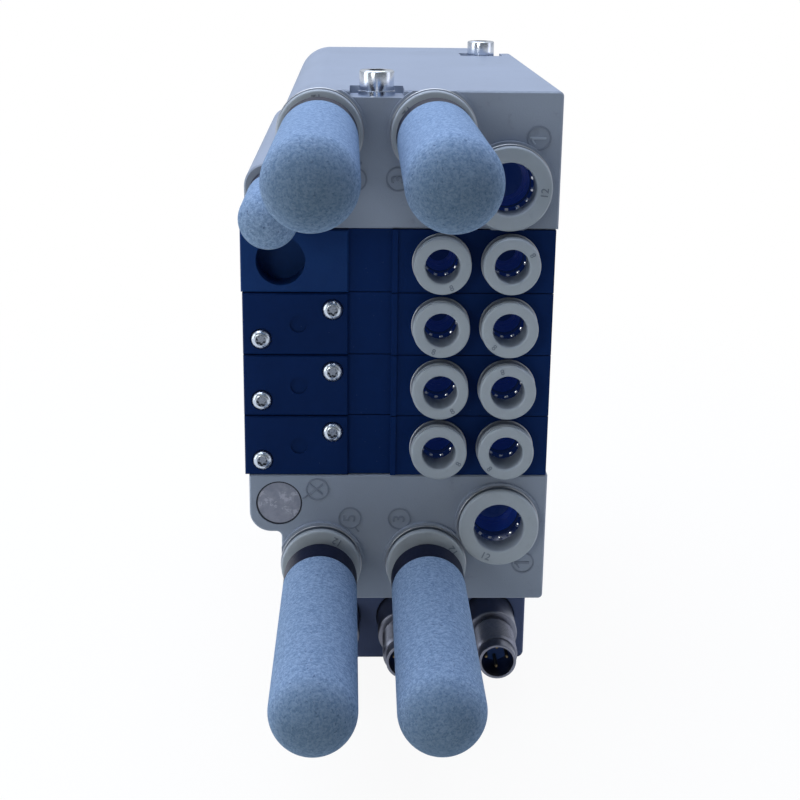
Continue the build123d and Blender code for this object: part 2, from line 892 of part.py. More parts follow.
# Screws that hold valves and blanking block to the base plates
valve_screws = []
for number, z in enumerate(station_middles, start=1):
    left = valve_left - (blank_extra_width if number == 1 else 0)
    seat = left + 2 * pan_head_height
    screw = pan_screw(base_left - seat + small_screw_bite)
    for y in valve_screw_ys:
        valve_screws.append(Pos(seat, y, z) * Rot(0, -90, 0) * screw)
write("valve_screws", *valve_screws)

write("tie_screws", *[tie_screw(x, y) for x, y in ties])
write("tie_washers", *[tie_washer(x, y) for x, y in ties])
write("tie_inserts", *[tie_insert(x, y) for x, y in ties])

# Small fittings: two to a station
small_places = [(x, z) for z in station_middles for x in work_ports]
write("port_sleeves_8", *[facing_front(small.sleeve(), x, z) for x, z in small_places])
write("collets_8", *[facing_front(small.collet(), x, z) for x, z in small_places])
write("tube_seals_8", *[facing_front(small.seal(), x, z) for x, z in small_places])
for number, z in enumerate(station_middles, start=1):
    for port, x in zip((4, 2), work_ports):
        write(f"release_ring_{number}_{port}", facing_front(small.release_ring(), x, z))

# Large fittings: supply and two exhausts in each end plate
large_places = []
for level, seam, sign, supply_rise, exhaust_rise in (
    ("upper", upper_plate_bottom, 1, upper_supply_rise, upper_exhaust_rise),
    ("lower", stack_bottom, -1, lower_supply_rise, lower_exhaust_rise),
):
    large_places.append((f"{level}_1", supply_x, seam + sign * supply_rise))
    large_places.append((f"{level}_3", exhaust_xs[0], seam + sign * exhaust_rise))
    large_places.append((f"{level}_5", exhaust_xs[1], seam + sign * exhaust_rise))
write("port_sleeves_12", *[facing_front(large.sleeve(), x, z) for _, x, z in large_places])
write("collets_12", *[facing_front(large.collet(), x, z) for _, x, z in large_places])
write("tube_seals_12", *[facing_front(large.seal(), x, z) for _, x, z in large_places])
for name, x, z in large_places:
    write(f"release_ring_{name}", facing_front(large.release_ring(), x, z))

# Silencers in the exhausts and in the upper pilot port, and a plug in the lower one
upper_pilot_z = upper_plate_bottom + pilot_rise
cup = porous_cup(
    silencer_collar_start + silencer_collar_length, silencer_reach,
    silencer_root_radius, silencer_tip_radius, silencer_wall
)
holders = []
for name, x, z in large_places:
    if name.endswith("_1"):
        continue
    holders.append(facing_front(silencer_holder(), x, z))
    write(f"silencer_{name}", facing_front(cup, x, z))
holders.append(facing_front(pilot_holder(), pilot_x, upper_pilot_z))
write("silencer_holders", *holders)
pilot_cup = porous_cup(
    pilot_collar_length, pilot_silencer_reach,
    pilot_silencer_radius, pilot_silencer_radius, pilot_silencer_wall
)
write("pilot_silencer", facing_front(pilot_cup, pilot_x, upper_pilot_z))
plug = Pos(0, 0, -plug_sink - plug_length / 2) * Cylinder(plug_radius, plug_length)
write("pilot_port_plug", facing_front(plug, pilot_x, stack_bottom - pilot_rise))

# Bus module
write("module_housing", module_housing())
write("module_cover", module_cover())
write("module_board", module_board())
connector_xs = [side_x - d for d in connector_from_side]
write(
    "connector_shells",
    *[facing_front(connector_shell(), x, connector_height, module_front) for x in connector_xs],
)
write(
    "connector_inserts",
    *[facing_front(connector_insert(), x, connector_height, module_front) for x in connector_xs],
)
pins = []
for x in connector_xs:
    for pin_x, pin_z in pin_places():
        pin = Pos(pin_x, pin_z, socket_floor) * connector_pin()
        pins.append(facing_front(pin, x, connector_height, module_front))
write("connector_pins", *pins)
screw_length = module_height - module_screw_seat + small_screw_bite
module_screw = Pos(0, 0, module_screw_seat) * Rot(180, 0, 0) * pan_screw(screw_length)
write("module_screws", *[Pos(x, y, 0) * module_screw for x, y in module_screw_places()])
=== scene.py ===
import math

import bmesh
import bpy
from mathutils import Matrix, Vector


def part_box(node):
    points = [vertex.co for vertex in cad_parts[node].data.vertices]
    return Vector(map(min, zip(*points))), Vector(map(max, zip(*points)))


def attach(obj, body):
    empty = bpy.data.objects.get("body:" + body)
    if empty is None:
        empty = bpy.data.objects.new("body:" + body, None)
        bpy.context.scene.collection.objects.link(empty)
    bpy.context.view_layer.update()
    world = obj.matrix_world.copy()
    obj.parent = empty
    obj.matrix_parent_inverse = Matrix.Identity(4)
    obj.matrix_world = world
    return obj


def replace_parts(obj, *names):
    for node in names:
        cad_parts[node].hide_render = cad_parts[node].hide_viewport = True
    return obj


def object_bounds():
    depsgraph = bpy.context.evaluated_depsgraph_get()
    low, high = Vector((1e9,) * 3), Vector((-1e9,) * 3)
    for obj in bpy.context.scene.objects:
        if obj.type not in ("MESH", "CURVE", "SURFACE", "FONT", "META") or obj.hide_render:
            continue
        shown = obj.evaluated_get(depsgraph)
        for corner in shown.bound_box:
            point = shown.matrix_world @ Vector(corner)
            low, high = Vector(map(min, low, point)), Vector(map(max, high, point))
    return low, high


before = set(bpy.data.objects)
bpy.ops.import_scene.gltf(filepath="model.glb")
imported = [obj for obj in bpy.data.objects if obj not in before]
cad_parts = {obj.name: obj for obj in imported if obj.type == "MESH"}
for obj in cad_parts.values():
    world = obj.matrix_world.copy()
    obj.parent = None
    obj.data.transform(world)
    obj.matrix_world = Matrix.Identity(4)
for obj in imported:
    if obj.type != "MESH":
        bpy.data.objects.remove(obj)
cad_low, cad_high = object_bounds()
MM = 0.001

# ---------------------------------------------------------------------------- end plates
# Two injection-moulded blocks of pale blue-grey glass-filled plastic close the stack above
# and below. Their skin has the fine grain of an eroded mould, with faint flow marks and
# grey scuffs where hands and tools have touched it.


class Wire:
    """A socket of a finish, so that its shader maths reads as plain sums."""

    def __init__(self, socket):
        self.socket = socket

    def node(self, kind, settings, values, output=0):
        """Add a node to this wire's tree, with its settings first and then its sockets."""
        tree = self.socket.id_data
        made = tree.nodes.new("ShaderNode" + kind)
        for setting, value in settings.items():
            if setting == "stops":
                for stop, (place, colour) in zip(made.color_ramp.elements, value):
                    stop.position = place
                    stop.color = (*colour, 1)
            else:
                setattr(made, setting, value)
        for name, value in values.items():
            if isinstance(value, Wire):
                tree.links.new(value.socket, made.inputs[name])
            else:
                made.inputs[name].default_value = value
        return Wire(made.outputs[output])

    def sum(self, operation, first, second):
        return self.node("Math", {"operation": operation}, {0: first, 1: second})

    def __add__(self, other):
        return self.sum("ADD", self, other)

    def __radd__(self, other):
        return self.sum("ADD", other, self)

    def __mul__(self, other):
        return self.sum("MULTIPLY", self, other)

    def __rmul__(self, other):
        return self.sum("MULTIPLY", other, self)


class Finish:
    """One material: a Principled shader whose constants are set on its own sockets."""

    def __init__(self, name, **constants):
        self.material = bpy.data.materials.new(name)
        self.material.use_nodes = True
        self.shader = self.material.node_tree.nodes["Principled BSDF"]
        for socket, value in constants.items():
            self.shader.inputs[socket.replace("_", " ")].default_value = value
        coordinates = self.material.node_tree.nodes.new("ShaderNodeTexCoord")
        self.place = Wire(coordinates.outputs["Object"])

    def noise(self, grain, detail=3.0, roughness=0.55):
        """Even noise whose lumps are about `grain` metres across."""
        values = {"Vector": self.place, "Scale": 1 / grain, "Detail": detail, "Roughness": roughness}
        return self.place.node("TexNoise", {}, values)

    def mask(self, wire, low, high):
        """0 where the wire is at low, 1 where it is at high, and smooth between. Either may
        be the larger."""
        settings = {"interpolation_type": "SMOOTHSTEP"}
        values = {"Value": wire, "From Min": low, "From Max": high}
        return self.place.node("MapRange", settings, values)

    def mix(self, factor, first, second):
        """Mix two colours."""
        values = {"Factor": factor, 6: first, 7: second}
        return self.place.node("Mix", {"data_type": "RGBA"}, values, output=2)

    def depth(self):
        """How far back along Y the surface lies."""
        return self.place.node("SeparateXYZ", {}, {0: self.place}, output=1)

    def from_axis(self, x, z):
        """How far the surface lies from a line along Y through (x, z)."""
        off = self.place.node("VectorMath", {"operation": "SUBTRACT"}, {0: self.place, 1: (x, 0, z)})
        flat = off.node("VectorMath", {"operation": "MULTIPLY"}, {0: off, 1: (1, 0, 1)})
        return flat.node("VectorMath", {"operation": "LENGTH"}, {0: flat}, output=1)

    def feed(self, socket, wire):
        self.material.node_tree.links.new(wire.socket, self.shader.inputs[socket])

    def bump(self, height, depth):
        """Raise the surface by `depth` metres where height is 1."""
        values = {"Height": height, "Distance": depth, "Strength": 1.0}
        self.feed("Normal", self.place.node("Bump", {}, values))


def rgba(red, green, blue):
    """A colour given as 8-bit screen values, as the linear values that shaders use."""
    channels = [v / 255 for v in (red, green, blue)]
    linear = [v / 12.92 if v <= 0.04045 else ((v + 0.055) / 1.055) ** 2.4 for v in channels]
    return (*linear, 1.0)


def dress(finish, *nodes):
    """Give CAD nodes a finish in their own material slots."""
    for node in nodes:
        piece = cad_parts[node]
        if not piece.material_slots:
            piece.data.materials.append(finish.material)
        for slot in piece.material_slots:
            slot.material = finish.material


plate_grain = 0.00035
plate_flow = 0.03
plate = Finish("plate_grey_plastic", Specular_IOR_Level=0.35)
grain = plate.noise(plate_grain, detail=4.0)
flow = plate.noise(plate_flow, detail=2.0)
scuff = plate.mask(plate.noise(0.006, detail=6.0, roughness=0.7), 0.60, 0.72)
plate_colour = plate.mix(flow, rgba(142, 151, 168), rgba(156, 166, 184))
plate.feed("Base Color", plate.mix(scuff * 0.35, plate_colour, rgba(122, 129, 144)))
plate.feed("Roughness", 0.42 + grain * 0.16)
plate.bump(grain, 0.00006)
dress(plate, "upper_end_plate", "lower_end_plate")

# ---------------------------------------------------------------------------- base plates
# One moulded plate of deep navy plastic to a station, stacked with a flat gasket between
# them. The tube ports open at the front, and the mould leaves a satin skin that shows
# every speck of dust.
navy_deep = rgba(5, 34, 82)
navy_light = rgba(8, 42, 96)
base = Finish("base_navy_plastic", Specular_IOR_Level=0.08)
haze = base.noise(0.018, detail=4.0)
dust = base.mask(base.noise(0.00055, detail=1.0), 0.775, 0.80)
base.feed("Base Color", base.mix(dust * 0.35, base.mix(haze, navy_deep, navy_light), rgba(90, 105, 140)))
base.feed("Roughness", 0.46 + base.noise(0.0005) * 0.2)
base.bump(base.noise(0.0005), 0.00004)
dress(base, *[f"base_plate_{number}" for number in range(1, 5)])

rubber = Finish("gasket_rubber", Base_Color=rgba(10, 10, 12), Roughness=0.8)
rubber.bump(rubber.noise(0.0006), 0.00003)
dress(rubber, "station_seals", "tube_seals_8", "tube_seals_12")

# ---------------------------------------------------------------------------- valves
# Each valve is a navy moulded body with a screwed front cover, and a black solenoid pilot
# at the back. Station 1 has no valve: a lighter, plain blanking block stands there, with
# a round pocket in its front.
valve = Finish("valve_navy_plastic", Specular_IOR_Level=0.08)
valve_haze = valve.noise(0.011, detail=4.0)
valve_dust = valve.mask(valve.noise(0.0005, detail=1.0), 0.77, 0.80)
valve_colour = valve.mix(valve_haze, rgba(4, 32, 78), rgba(7, 39, 90))
valve.feed("Base Color", valve.mix(valve_dust * 0.35, valve_colour, rgba(95, 110, 140)))
valve.feed("Roughness", 0.44 + valve.noise(0.0004) * 0.2)
valve.bump(valve.noise(0.0004), 0.00004)
dress(valve, *[f"{part}_{number}" for part in ("valve_body", "valve_cover") for number in (2, 3, 4)])

blank = Finish("blank_navy_plastic", Specular_IOR_Level=0.1)
blank_haze = blank.noise(0.009, detail=5.0)
blank.feed("Base Color", blank.mix(blank_haze, rgba(12, 44, 96), rgba(24, 60, 116)))
blank.feed("Roughness", 0.42 + blank_haze * 0.2)
blank.bump(blank.noise(0.0006), 0.00005)
dress(blank, "blanking_block")

pilot = Finish("pilot_black_plastic", Specular_IOR_Level=0.35)
pilot_haze = pilot.noise(0.014, detail=4.0)
pilot.feed("Base Color", pilot.mix(pilot_haze, rgba(15, 17, 24), rgba(27, 30, 40)))
pilot.feed("Roughness", 0.48 + pilot.noise(0.0004) * 0.18)
pilot.bump(pilot.noise(0.0004), 0.00005)
dress(pilot, *[f"pilot_head_{number}" for number in (2, 3, 4)])

spool_metal = Finish("spool_aluminium", Base_Color=rgba(196, 198, 202), Metallic=1.0)
spool_metal.feed("Roughness", 0.25 + spool_metal.noise(0.001) * 0.15)
dress(spool_metal, *[f"spool_{number}" for number in (2, 3, 4)])

# ---------------------------------------------------------------------------- release rings
# Each push-in fitting has a pale grey acetal ring that is pressed in to free its tube. It is
# turned smooth, with a softly rounded rim and lead-in, and has its tube size raised on
# its face. The rings sit in their ports as they happened to be pushed in, at any turn.
front_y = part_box("valve_cover_2")[0].y
round_steps = 4
broad_steps = 28
broad_round = 2.0 * MM
ring_segments = 96
ring_radii = {"rim": 0.6 * MM, "back": 0.3 * MM, "mouth": 0.5 * MM, "neck": 0.12 * MM, "groove": 0.12 * MM}
groove_depth = 0.6 * MM
digit_height = 0.1 * MM
digit_weight = 0.035 * MM
digit_sunk = 0.02 * MM
cap_share = 0.72
join = 0.000001

ring_finish = Finish("ring_grey_acetal", Specular_IOR_Level=0.4)
ring_haze = ring_finish.noise(0.004, detail=5.0, roughness=0.65)
ring_grime = ring_finish.mask(ring_finish.noise(0.0022, detail=6.0, roughness=0.7), 0.55, 0.75)
ring_colour = ring_finish.mix(ring_haze, rgba(164, 172, 180), rgba(176, 184, 194))
ring_finish.feed("Base Color", ring_finish.mix(ring_grime * 0.3, ring_colour, rgba(138, 146, 158)))
ring_finish.feed("Roughness", 0.34 + ring_haze * 0.14)
ring_finish.bump(ring_finish.noise(0.0007), 0.00002)

digit_finish = Finish("ring_digit_grey", Specular_IOR_Level=0.35, Roughness=0.5)
digit_colour = digit_finish.mix(digit_finish.noise(0.001), rgba(118, 126, 138), rgba(132, 140, 152))
digit_finish.feed("Base Color", digit_colour)

to_front = Matrix.Rotation(math.radians(90), 4, "X")


def turn_up(outline, segments=ring_segments):
    """A bmesh turned about Z from (radius, height, rounding) corners given in metres."""
    bm = bmesh.new()
    corners = [bm.verts.new((radius, 0, height)) for radius, height, _ in outline]
    for corner, following in zip(corners, corners[1:] + corners[:1]):
        if not (outline[0][0] == 0 and following is corners[0]):
            bm.edges.new((corner, following))
    for corner, (_, _, rounding) in zip(corners, outline):
        if rounding:
            bmesh.ops.bevel(
                bm, geom=[corner], offset=rounding, offset_type="OFFSET", affect="VERTICES",
                segments=broad_steps if rounding > broad_round else round_steps, profile=0.5, material=-1
            )
    bmesh.ops.spin(
        bm, geom=bm.verts[:] + bm.edges[:], cent=(0, 0, 0), axis=(0, 0, 1),
        angle=2 * math.pi, steps=segments, use_merge=True
    )
    bmesh.ops.remove_doubles(bm, verts=bm.verts[:], dist=join)
    bmesh.ops.recalc_face_normals(bm, faces=bm.faces[:])
    return bm


def finished(bm, name, body, slot, *finishes, crease=35):
    """Write a bmesh out as a piece that rides on a body, smooth except at its creases."""
    mesh = bpy.data.meshes.new(name)
    bm.to_mesh(mesh)
    bm.free()
    mesh.shade_smooth()
    mesh.set_sharp_from_angle(angle=math.radians(crease))
    piece = bpy.data.objects.new(name, mesh)
    bpy.context.scene.collection.objects.link(piece)
    for finish in finishes:
        mesh.materials.append(finish.material)
    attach(piece, body)
    return piece


def lettering(text, height, thickness, weight=0.0):
    """A bmesh of raised characters, centred on Z with their foot on z = 0, whose strokes
    are widened by a weight. Capitals take up cap_share of the font's size."""
    curve = bpy.data.curves.new("lettering", "FONT")
    curve.body = text
    curve.align_x = "CENTER"
    curve.align_y = "CENTER"
    scale = height / cap_share
    curve.extrude = (thickness / 2 - weight) / scale
    curve.bevel_depth = weight / scale
    curve.bevel_resolution = 1
    curve.resolution_u = 4
    holder = bpy.data.objects.new("lettering", curve)
    bpy.context.scene.collection.objects.link(holder)
    bpy.context.view_layer.update()
    mesh = holder.to_mesh()
    bm = bmesh.new()
    bm.from_mesh(mesh)
    holder.to_mesh_clear()
    bpy.data.objects.remove(holder)
    bpy.data.curves.remove(curve)
    bm.transform(Matrix.Translation((0, 0, thickness / 2)) @ Matrix.Scale(scale, 4))
    bmesh.ops.remove_doubles(bm, verts=bm.verts[:], dist=join)
    return bm


def add_in(target, source, place, slot=None):
    """Join a bmesh into another at a place, with its faces in one material slot if given."""
    if slot is not None:
        for face in source.faces:
            face.material_index = slot
    source.transform(place)
    mesh = bpy.data.meshes.new("joined")
    source.to_mesh(mesh)
    source.free()
    target.from_mesh(mesh)
    bpy.data.meshes.remove(mesh)


def middle_of(node):
    """The middle of a node in X and Z, as seen from the front."""
    low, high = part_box(node)
    return (low.x + high.x) / 2, (low.z + high.z) / 2


class Ring:
    """One size of release ring: its bore, neck and the head's thickness, with the two
    edges of the groove that parts the head's face from its flange."""

    def __init__(self, bore, neck, head, groove, size, digit, digit_radius):
        self.bore, self.neck, self.head, self.groove = bore, neck, head, groove
        self.size, self.digit, self.digit_radius = size, digit, digit_radius

    def build(self, node, turn):
        low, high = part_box(node)
        radius = (high.x - low.x) / 2
        front, foot = front_y - low.y, front_y - high.y
        back = front - self.head
        groove_front, groove_back = (front - edge for edge in self.groove)
        bm = turn_up([
            (self.bore, foot, ring_radii["neck"]),
            (self.neck, foot, ring_radii["neck"]),
            (self.neck, back, 0),
            (radius, back, ring_radii["back"]),
            (radius, groove_back, ring_radii["groove"]),
            (radius - groove_depth, groove_back, 0),
            (radius - groove_depth, groove_front, 0),
            (radius, groove_front, ring_radii["groove"]),
            (radius, front, ring_radii["rim"]),
            (self.bore, front, ring_radii["mouth"]),
        ])
        angle = math.radians(turn)
        x, y = self.digit_radius * math.cos(angle), self.digit_radius * math.sin(angle)
        place = Matrix.Translation((x, y, front - digit_sunk))
        place = place @ Matrix.Rotation(angle + math.radians(90), 4, "Z")
        add_in(bm, lettering(self.size, self.digit, digit_height, digit_weight), place, 1)
        x, z = middle_of(node)
        bm.transform(Matrix.Translation((x, front_y, z)) @ to_front)
        piece = finished(bm, node + "_turned", node + "_body", "ring_grey", ring_finish, digit_finish)
        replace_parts(piece, node)


small_ring = Ring(
    bore=4.3 * MM, neck=5.3 * MM, head=3.1 * MM, groove=(0.85 * MM, 1.75 * MM),
    size="8", digit=1.5 * MM, digit_radius=5.85 * MM
)
large_ring = Ring(
    bore=6.5 * MM, neck=7.5 * MM, head=1.7 * MM, groove=(0.8 * MM, 1.2 * MM),
    size="12", digit=1.9 * MM, digit_radius=8.5 * MM
)
small_turns = {
    "1_4": -67, "1_2": 31, "2_4": -109, "2_2": -132,
    "3_4": -57, "3_2": 106, "4_4": -29, "4_2": -135,
}
large_turns = {
    "upper_1": -6, "upper_3": 140, "upper_5": 95,
    "lower_1": -113, "lower_3": 35, "lower_5": 60,
}
for place, turn in small_turns.items():
    small_ring.build("release_ring_" + place, turn)
for place, turn in large_turns.items():
    large_ring.build("release_ring_" + place, turn)

# ---------------------------------------------------------------------------- fittings
# Behind each ring sits a sleeve whose thin rim is plated bright; past the rim it is painted navy,
# not metal, as painted shade deep in the port. In it, a collet of spring steel has bent teeth that bite the
# tube.
rim_depth = 0.6 * MM
nickel = Finish("sleeve_nickel")
on_rim = nickel.mask(nickel.depth(), front_y + rim_depth * 1.4, front_y + rim_depth)
# Painted shade: past the rim the sleeve is navy and not metallic.
nickel.feed("Base Color", nickel.mix(on_rim, rgba(28, 68, 178), rgba(168, 174, 186)))
nickel.feed("Metallic", on_rim)
nickel.feed("Roughness", 0.26 + nickel.noise(0.004) * 0.12)
dress(nickel, "port_sleeves_8", "port_sleeves_12")

teeth_steel = Finish("collet_steel", Metallic=1.0, Base_Color=rgba(168, 170, 174))
teeth_steel.feed("Roughness", 0.1 + teeth_steel.noise(0.0006) * 0.1)
dress(teeth_steel, "collets_8", "collets_12")

tooth_lean = 21
crown_turn = 13
tooth_sheet = 0.14 * MM
tooth_edge = 0.04 * MM
tooth_width = 0.95 * MM


def loose_parts(node):
    """The boxes of a CAD node's separate solids, as (low, high) pairs."""
    bm = bmesh.new()
    bm.from_mesh(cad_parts[node].data)
    bmesh.ops.remove_doubles(bm, verts=bm.verts[:], dist=2 * join)
    left = set(bm.verts)
    boxes = []
    while left:
        edge_of_search = [left.pop()]
        found = []
        while edge_of_search:
            vert = edge_of_search.pop()
            found.append(vert.co.copy())
            for edge in vert.link_edges:
                other = edge.other_vert(vert)
                if other in left:
                    left.discard(other)
                    edge_of_search.append(other)
        low = Vector([min(p[i] for p in found) for i in range(3)])
        high = Vector([max(p[i] for p in found) for i in range(3)])
        boxes.append((low, high))
    bm.free()
    return sorted(boxes, key=lambda box: [round(c, 5) for c in box[0]])


def collet_teeth(name, node, inner, outer, depth, count):
    """Add a crown of teeth to each collet of a node, all leaning inwards and back."""
    crowns = bmesh.new()
    lean = Matrix.Rotation(math.radians(-tooth_lean), 4, "Y")
    for index, (low, high) in enumerate(loose_parts(node)):
        port = Matrix.Translation(((low.x + high.x) / 2, front_y, (low.z + high.z) / 2)) @ to_front
        for number in range(count):
            tooth = bmesh.new()
            bmesh.ops.create_cube(tooth, size=1)
            bmesh.ops.scale(tooth, vec=(outer - inner, tooth_width, tooth_sheet), verts=tooth.verts[:])
            bmesh.ops.bevel(
                tooth, geom=tooth.edges[:], offset=tooth_edge, affect="EDGES",
                segments=2, profile=0.5, material=-1
            )
            turn = Matrix.Rotation(math.radians(360 * number / count + crown_turn * index), 4, "Z")
            add_in(crowns, tooth, port @ turn @ Matrix.Translation(((inner + outer) / 2, 0, -depth)) @ lean)
    finished(crowns, name, "island", "collet_steel", teeth_steel)


collet_teeth("collet_teeth_8", "collets_8", inner=4.05 * MM, outer=4.7 * MM, depth=5.1 * MM, count=10)
collet_teeth("collet_teeth_12", "collets_12", inner=6.1 * MM, outer=6.9 * MM, depth=4.55 * MM, count=14)

bead_inside = 0.4 * MM
bead_outside = 0.15 * MM
bead_round = 0.26 * MM

bead_metal = Finish("rim_bright_nickel", Metallic=1.0, Base_Color=rgba(176, 178, 182))
bead_metal.feed("Roughness", 0.26 + bead_metal.noise(0.002) * 0.14)


def rim_beads(name, node):
    """Round off the outer edge of each sleeve's rim with a half-round bead."""
    beads = bmesh.new()
    for low, high in loose_parts(node):
        radius, top = (high.x - low.x) / 2, front_y - low.y
        foot = top - bead_inside - bead_outside
        bead = turn_up([
            (radius - bead_inside, foot, bead_round),
            (radius + bead_outside, foot, bead_round),
            (radius + bead_outside, top, bead_round),
            (radius - bead_inside, top, bead_round),
        ])
        port = Matrix.Translation(((low.x + high.x) / 2, front_y, (low.z + high.z) / 2)) @ to_front
        add_in(beads, bead, port)
    finished(beads, name, "island", "sleeve_nickel", bead_metal)


rim_beads("rim_beads_8", "port_sleeves_8")
rim_beads("rim_beads_12", "port_sleeves_12")

# Behind the tubes' stops the ports run on into the dark. Their deep walls, the sleeves' insides, the collet
# teeth and the seals give off a faint navy painted glow.
deep_from, deep_to = 8.0 * MM, 90.0 * MM
painted_navy_glow = (0.0015, 0.0045, 0.022, 1)
unlit = (0, 0, 0, 1)


def paint_glow(finish, colour):
    """Give a finish a painted glow: one colour, or a wire where it changes over the surface."""
    finish.shader.inputs["Emission Strength"].default_value = 1.0
    if isinstance(colour, Wire):
        finish.feed("Emission Color", colour)
    else:
        finish.shader.inputs["Emission Color"].default_value = colour


def paint_glow_in(finish, rings, radius):
    """Give the deep walls of the ports behind some rings a painted glow of faint navy."""
    near = 0.0
    for ring in rings:
        near = near + finish.mask(finish.from_axis(*middle_of(ring)), radius, radius - 0.5 * MM)
    back = finish.depth()
    deep = finish.mask(back, front_y + deep_from, front_y + deep_from + MM)
    deep = deep * finish.mask(back, front_y + deep_to, front_y + deep_to - MM)
    paint_glow(finish, finish.mix(near * deep, unlit, painted_navy_glow))


paint_glow_in(base, ["release_ring_" + place for place in small_turns], radius=6.0 * MM)
paint_glow_in(plate, ["release_ring_upper_1", "release_ring_lower_1"], radius=7.0 * MM)
paint_glow(nickel, nickel.mix(on_rim, painted_navy_glow, unlit))
paint_glow(teeth_steel, painted_navy_glow)
paint_glow(rubber, painted_navy_glow)

# ---------------------------------------------------------------------------- small screws
# Zinc-plated M3 pan-head screws with a six-lobed socket hold the valve covers, the pilots,
# the valves and the bus module. Each head is pressed, so its dome and socket have soft
# edges, and each stopped at its own turn.
screw_radius = 1.4 * MM
pan_radius = 2.55 * MM
pan_height = 1.9 * MM
lobe_outer = 1.38 * MM
lobe_depth = 0.3
lobe_count = 6
socket_depth = 0.85 * MM
socket_taper = 0.78
pan_segments = 72
pan_dome = [
    (1.75 * MM, 1.82 * MM, 0.3 * MM),
    (2.42 * MM, 1.2 * MM, 0.3 * MM),
    (pan_radius, 0.55 * MM, 0.1 * MM),
    (pan_radius - 0.08 * MM, 0, 0),
]
first_turn, next_turn = 17, 41
level = 1e-7

zinc = Finish("screw_zinc", Metallic=1.0, Base_Color=rgba(196, 204, 214))
zinc_wear = zinc.noise(0.0007, detail=4.0)
zinc.feed("Roughness", 0.16 + zinc_wear * 0.22)
zinc.bump(zinc_wear, 0.00002)
# The sockets are painted darker than the head, as painted shade in the recess.
socket_painted_shade = Finish("screw_socket_shade", Metallic=1.0, Base_Color=rgba(122, 128, 138))
socket_painted_shade.feed("Roughness", 0.2 + socket_painted_shade.noise(0.0006) * 0.15)
socket_painted_shade.bump(socket_painted_shade.noise(0.0009), 0.0001)


def sink_socket(bm, top, seat, radius, depth, outline, taper=1.0):
    """Sink a socket into a turned screw's head, between its seat and its top. The outline
    gives the socket's reach at an angle, as a share of the radius."""
    bore = [f for f in bm.faces if all(v.co.xy.length <= radius * 1.001 for v in f.verts)]
    bmesh.ops.delete(bm, geom=bore, context="FACES")
    for vert in bm.verts:
        if abs(vert.co.z - top) < level and vert.co.xy.length < radius * 1.01:
            vert.co.xy *= outline(math.atan2(vert.co.y, vert.co.x))
    mouth = [e for e in bm.edges if e.is_boundary and all(abs(v.co.z - top) < level for v in e.verts)]
    for made in bmesh.ops.extrude_edge_only(bm, edges=mouth)["geom"]:
        if isinstance(made, bmesh.types.BMVert):
            made.co.z -= depth
            made.co.xy *= taper
    bmesh.ops.holes_fill(bm, edges=[e for e in bm.edges if e.is_boundary])
    for face in bm.faces:
        middle = face.calc_center_median()
        face.material_index = int(middle.xy.length < radius and middle.z > seat)
    bmesh.ops.recalc_face_normals(bm, faces=bm.faces[:])


def lobed(angle):
    """The reach of a six-lobed socket at an angle."""
    return 1 - lobe_depth * (0.5 - 0.5 * math.cos(lobe_count * angle))


def pan_head_screw(length):
    """A bmesh of a pan-head screw: shank down from z = 0, domed head above."""
    bm = turn_up([
        (lobe_outer, pan_height, 0),
        *pan_dome,
        (screw_radius, 0, 0),
        (screw_radius, -length, 0),
        (lobe_outer * 0.5, -length, 0),
    ], pan_segments)
    sink_socket(bm, pan_height, 0, lobe_outer, socket_depth, lobed, socket_taper)
    return bm


def screw_set(node, length, heads, name):
    """Replace a node of like screws: each head stands at its point and looks along its axis."""
    whole = bmesh.new()
    for index, (point, axis) in enumerate(heads):
        aim = Vector((0, 0, 1)).rotation_difference(Vector(axis)).to_matrix().to_4x4()
        turn = Matrix.Rotation(math.radians(first_turn + next_turn * index), 4, "Z")
        add_in(whole, pan_head_screw(length), Matrix.Translation(point) @ aim @ turn)
    piece = finished(whole, name, "island", "screw_zinc", zinc, socket_painted_shade, crease=30)
    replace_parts(piece, node)


def heads_of(node, axis):
    """Where a node's screw heads meet their seats, with the length of their shanks."""
    places = []
    for low, high in loose_parts(node):
        middle = (low + high) / 2
        along = Vector(axis)
        reach = abs((high - low).dot(along))
        tip = middle + along * reach / 2
        places.append((tip - along * pan_height, axis))
    return places, reach - pan_height


for node, axis in (
    ("cover_screws", (0, -1, 0)),
    ("pilot_screws", (0, 1, 0)),
    ("valve_screws", (-1, 0, 0)),
    ("module_screws", (0, 0, -1)),
):
    heads, length = heads_of(node, axis)
    screw_set(node, length, heads, node + "_pressed")

# ---------------------------------------------------------------------------- tie screws
# Two long M5 socket-head screws clamp the whole stack, each on a plain washer in a pocket
# of the upper end plate. Their heads are turned bright, with a hexagon socket and a
# rounded top edge.
tie_head_radius = 4.25 * MM
tie_radius = 2.5 * MM
tie_head_height = 5.0 * MM
hexagon_corner = 2.31 * MM
hexagon_depth = 2.6 * MM

bright = Finish("tie_screw_zinc", Metallic=1.0, Base_Color=rgba(214, 220, 230))
bright.feed("Roughness", 0.1 + bright.noise(0.0012, detail=5.0) * 0.22)
bright.bump(bright.noise(0.0006), 0.000012)


def hexagonal(angle):
    """The reach of a hexagon socket at an angle, as a share of its corners' reach."""
    half_side = math.radians(30)
    return math.cos(half_side) / math.cos(angle % (2 * half_side) - half_side)


def tie_screw(low, high):
    """A bmesh of a socket-head screw that fills the box of its CAD solid."""
    top, foot = high.z, low.z
    seat = top - tie_head_height
    bm = turn_up([
        (hexagon_corner, top, 0),
        (tie_head_radius, top, 0.55 * MM),
        (tie_head_radius, seat, 0.25 * MM),
        (tie_radius, seat, 0),
        (tie_radius, foot, 0),
        (tie_radius * 0.4, foot, 0),
    ])
    sink_socket(bm, top, seat, hexagon_corner, hexagon_depth, hexagonal)
    return bm


ties = bmesh.new()
for low, high in loose_parts("tie_screws"):
    middle = (low + high) / 2
    add_in(ties, tie_screw(low, high), Matrix.Translation((middle.x, middle.y, 0)))
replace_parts(finished(ties, "tie_screws_turned", "island", "screw_zinc", bright, socket_painted_shade), "tie_screws")

